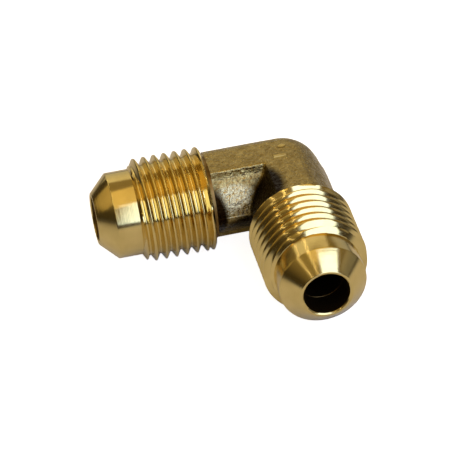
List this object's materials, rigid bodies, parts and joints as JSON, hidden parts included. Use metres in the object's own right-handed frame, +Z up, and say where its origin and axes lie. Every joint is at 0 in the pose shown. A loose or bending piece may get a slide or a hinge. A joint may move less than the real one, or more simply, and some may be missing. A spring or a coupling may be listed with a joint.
{
  "type": "flare fitting",
  "caption": "Right-angle brass elbow for flared tube, with a threaded end and a 45 degree conical nose on each arm and a drilled passage that turns the corner.",
  "frame": {"origin": "crossing of the two arms' axes, in the middle of the forged corner", "axes": "-X out of the left end along its axis, -Y out of the right end along its axis, +Z up, out of the flat that carries the raised mark"},
  "size_m": [0.0297, 0.0297, 0.0126],
  "materials": {
    "brass_machined": "polished",
    "brass_forged": "satin"
  },
  "bodies": {
    "root": {"elbow_forging": "brass_forged", "forged_mark": "brass_forged", "left_neck": "brass_machined", "right_neck": "brass_machined", "left_thread": "brass_machined", "right_thread": "brass_machined", "left_flare_nose": "brass_machined", "right_flare_nose": "brass_machined"}
  },
  "joints": []
}
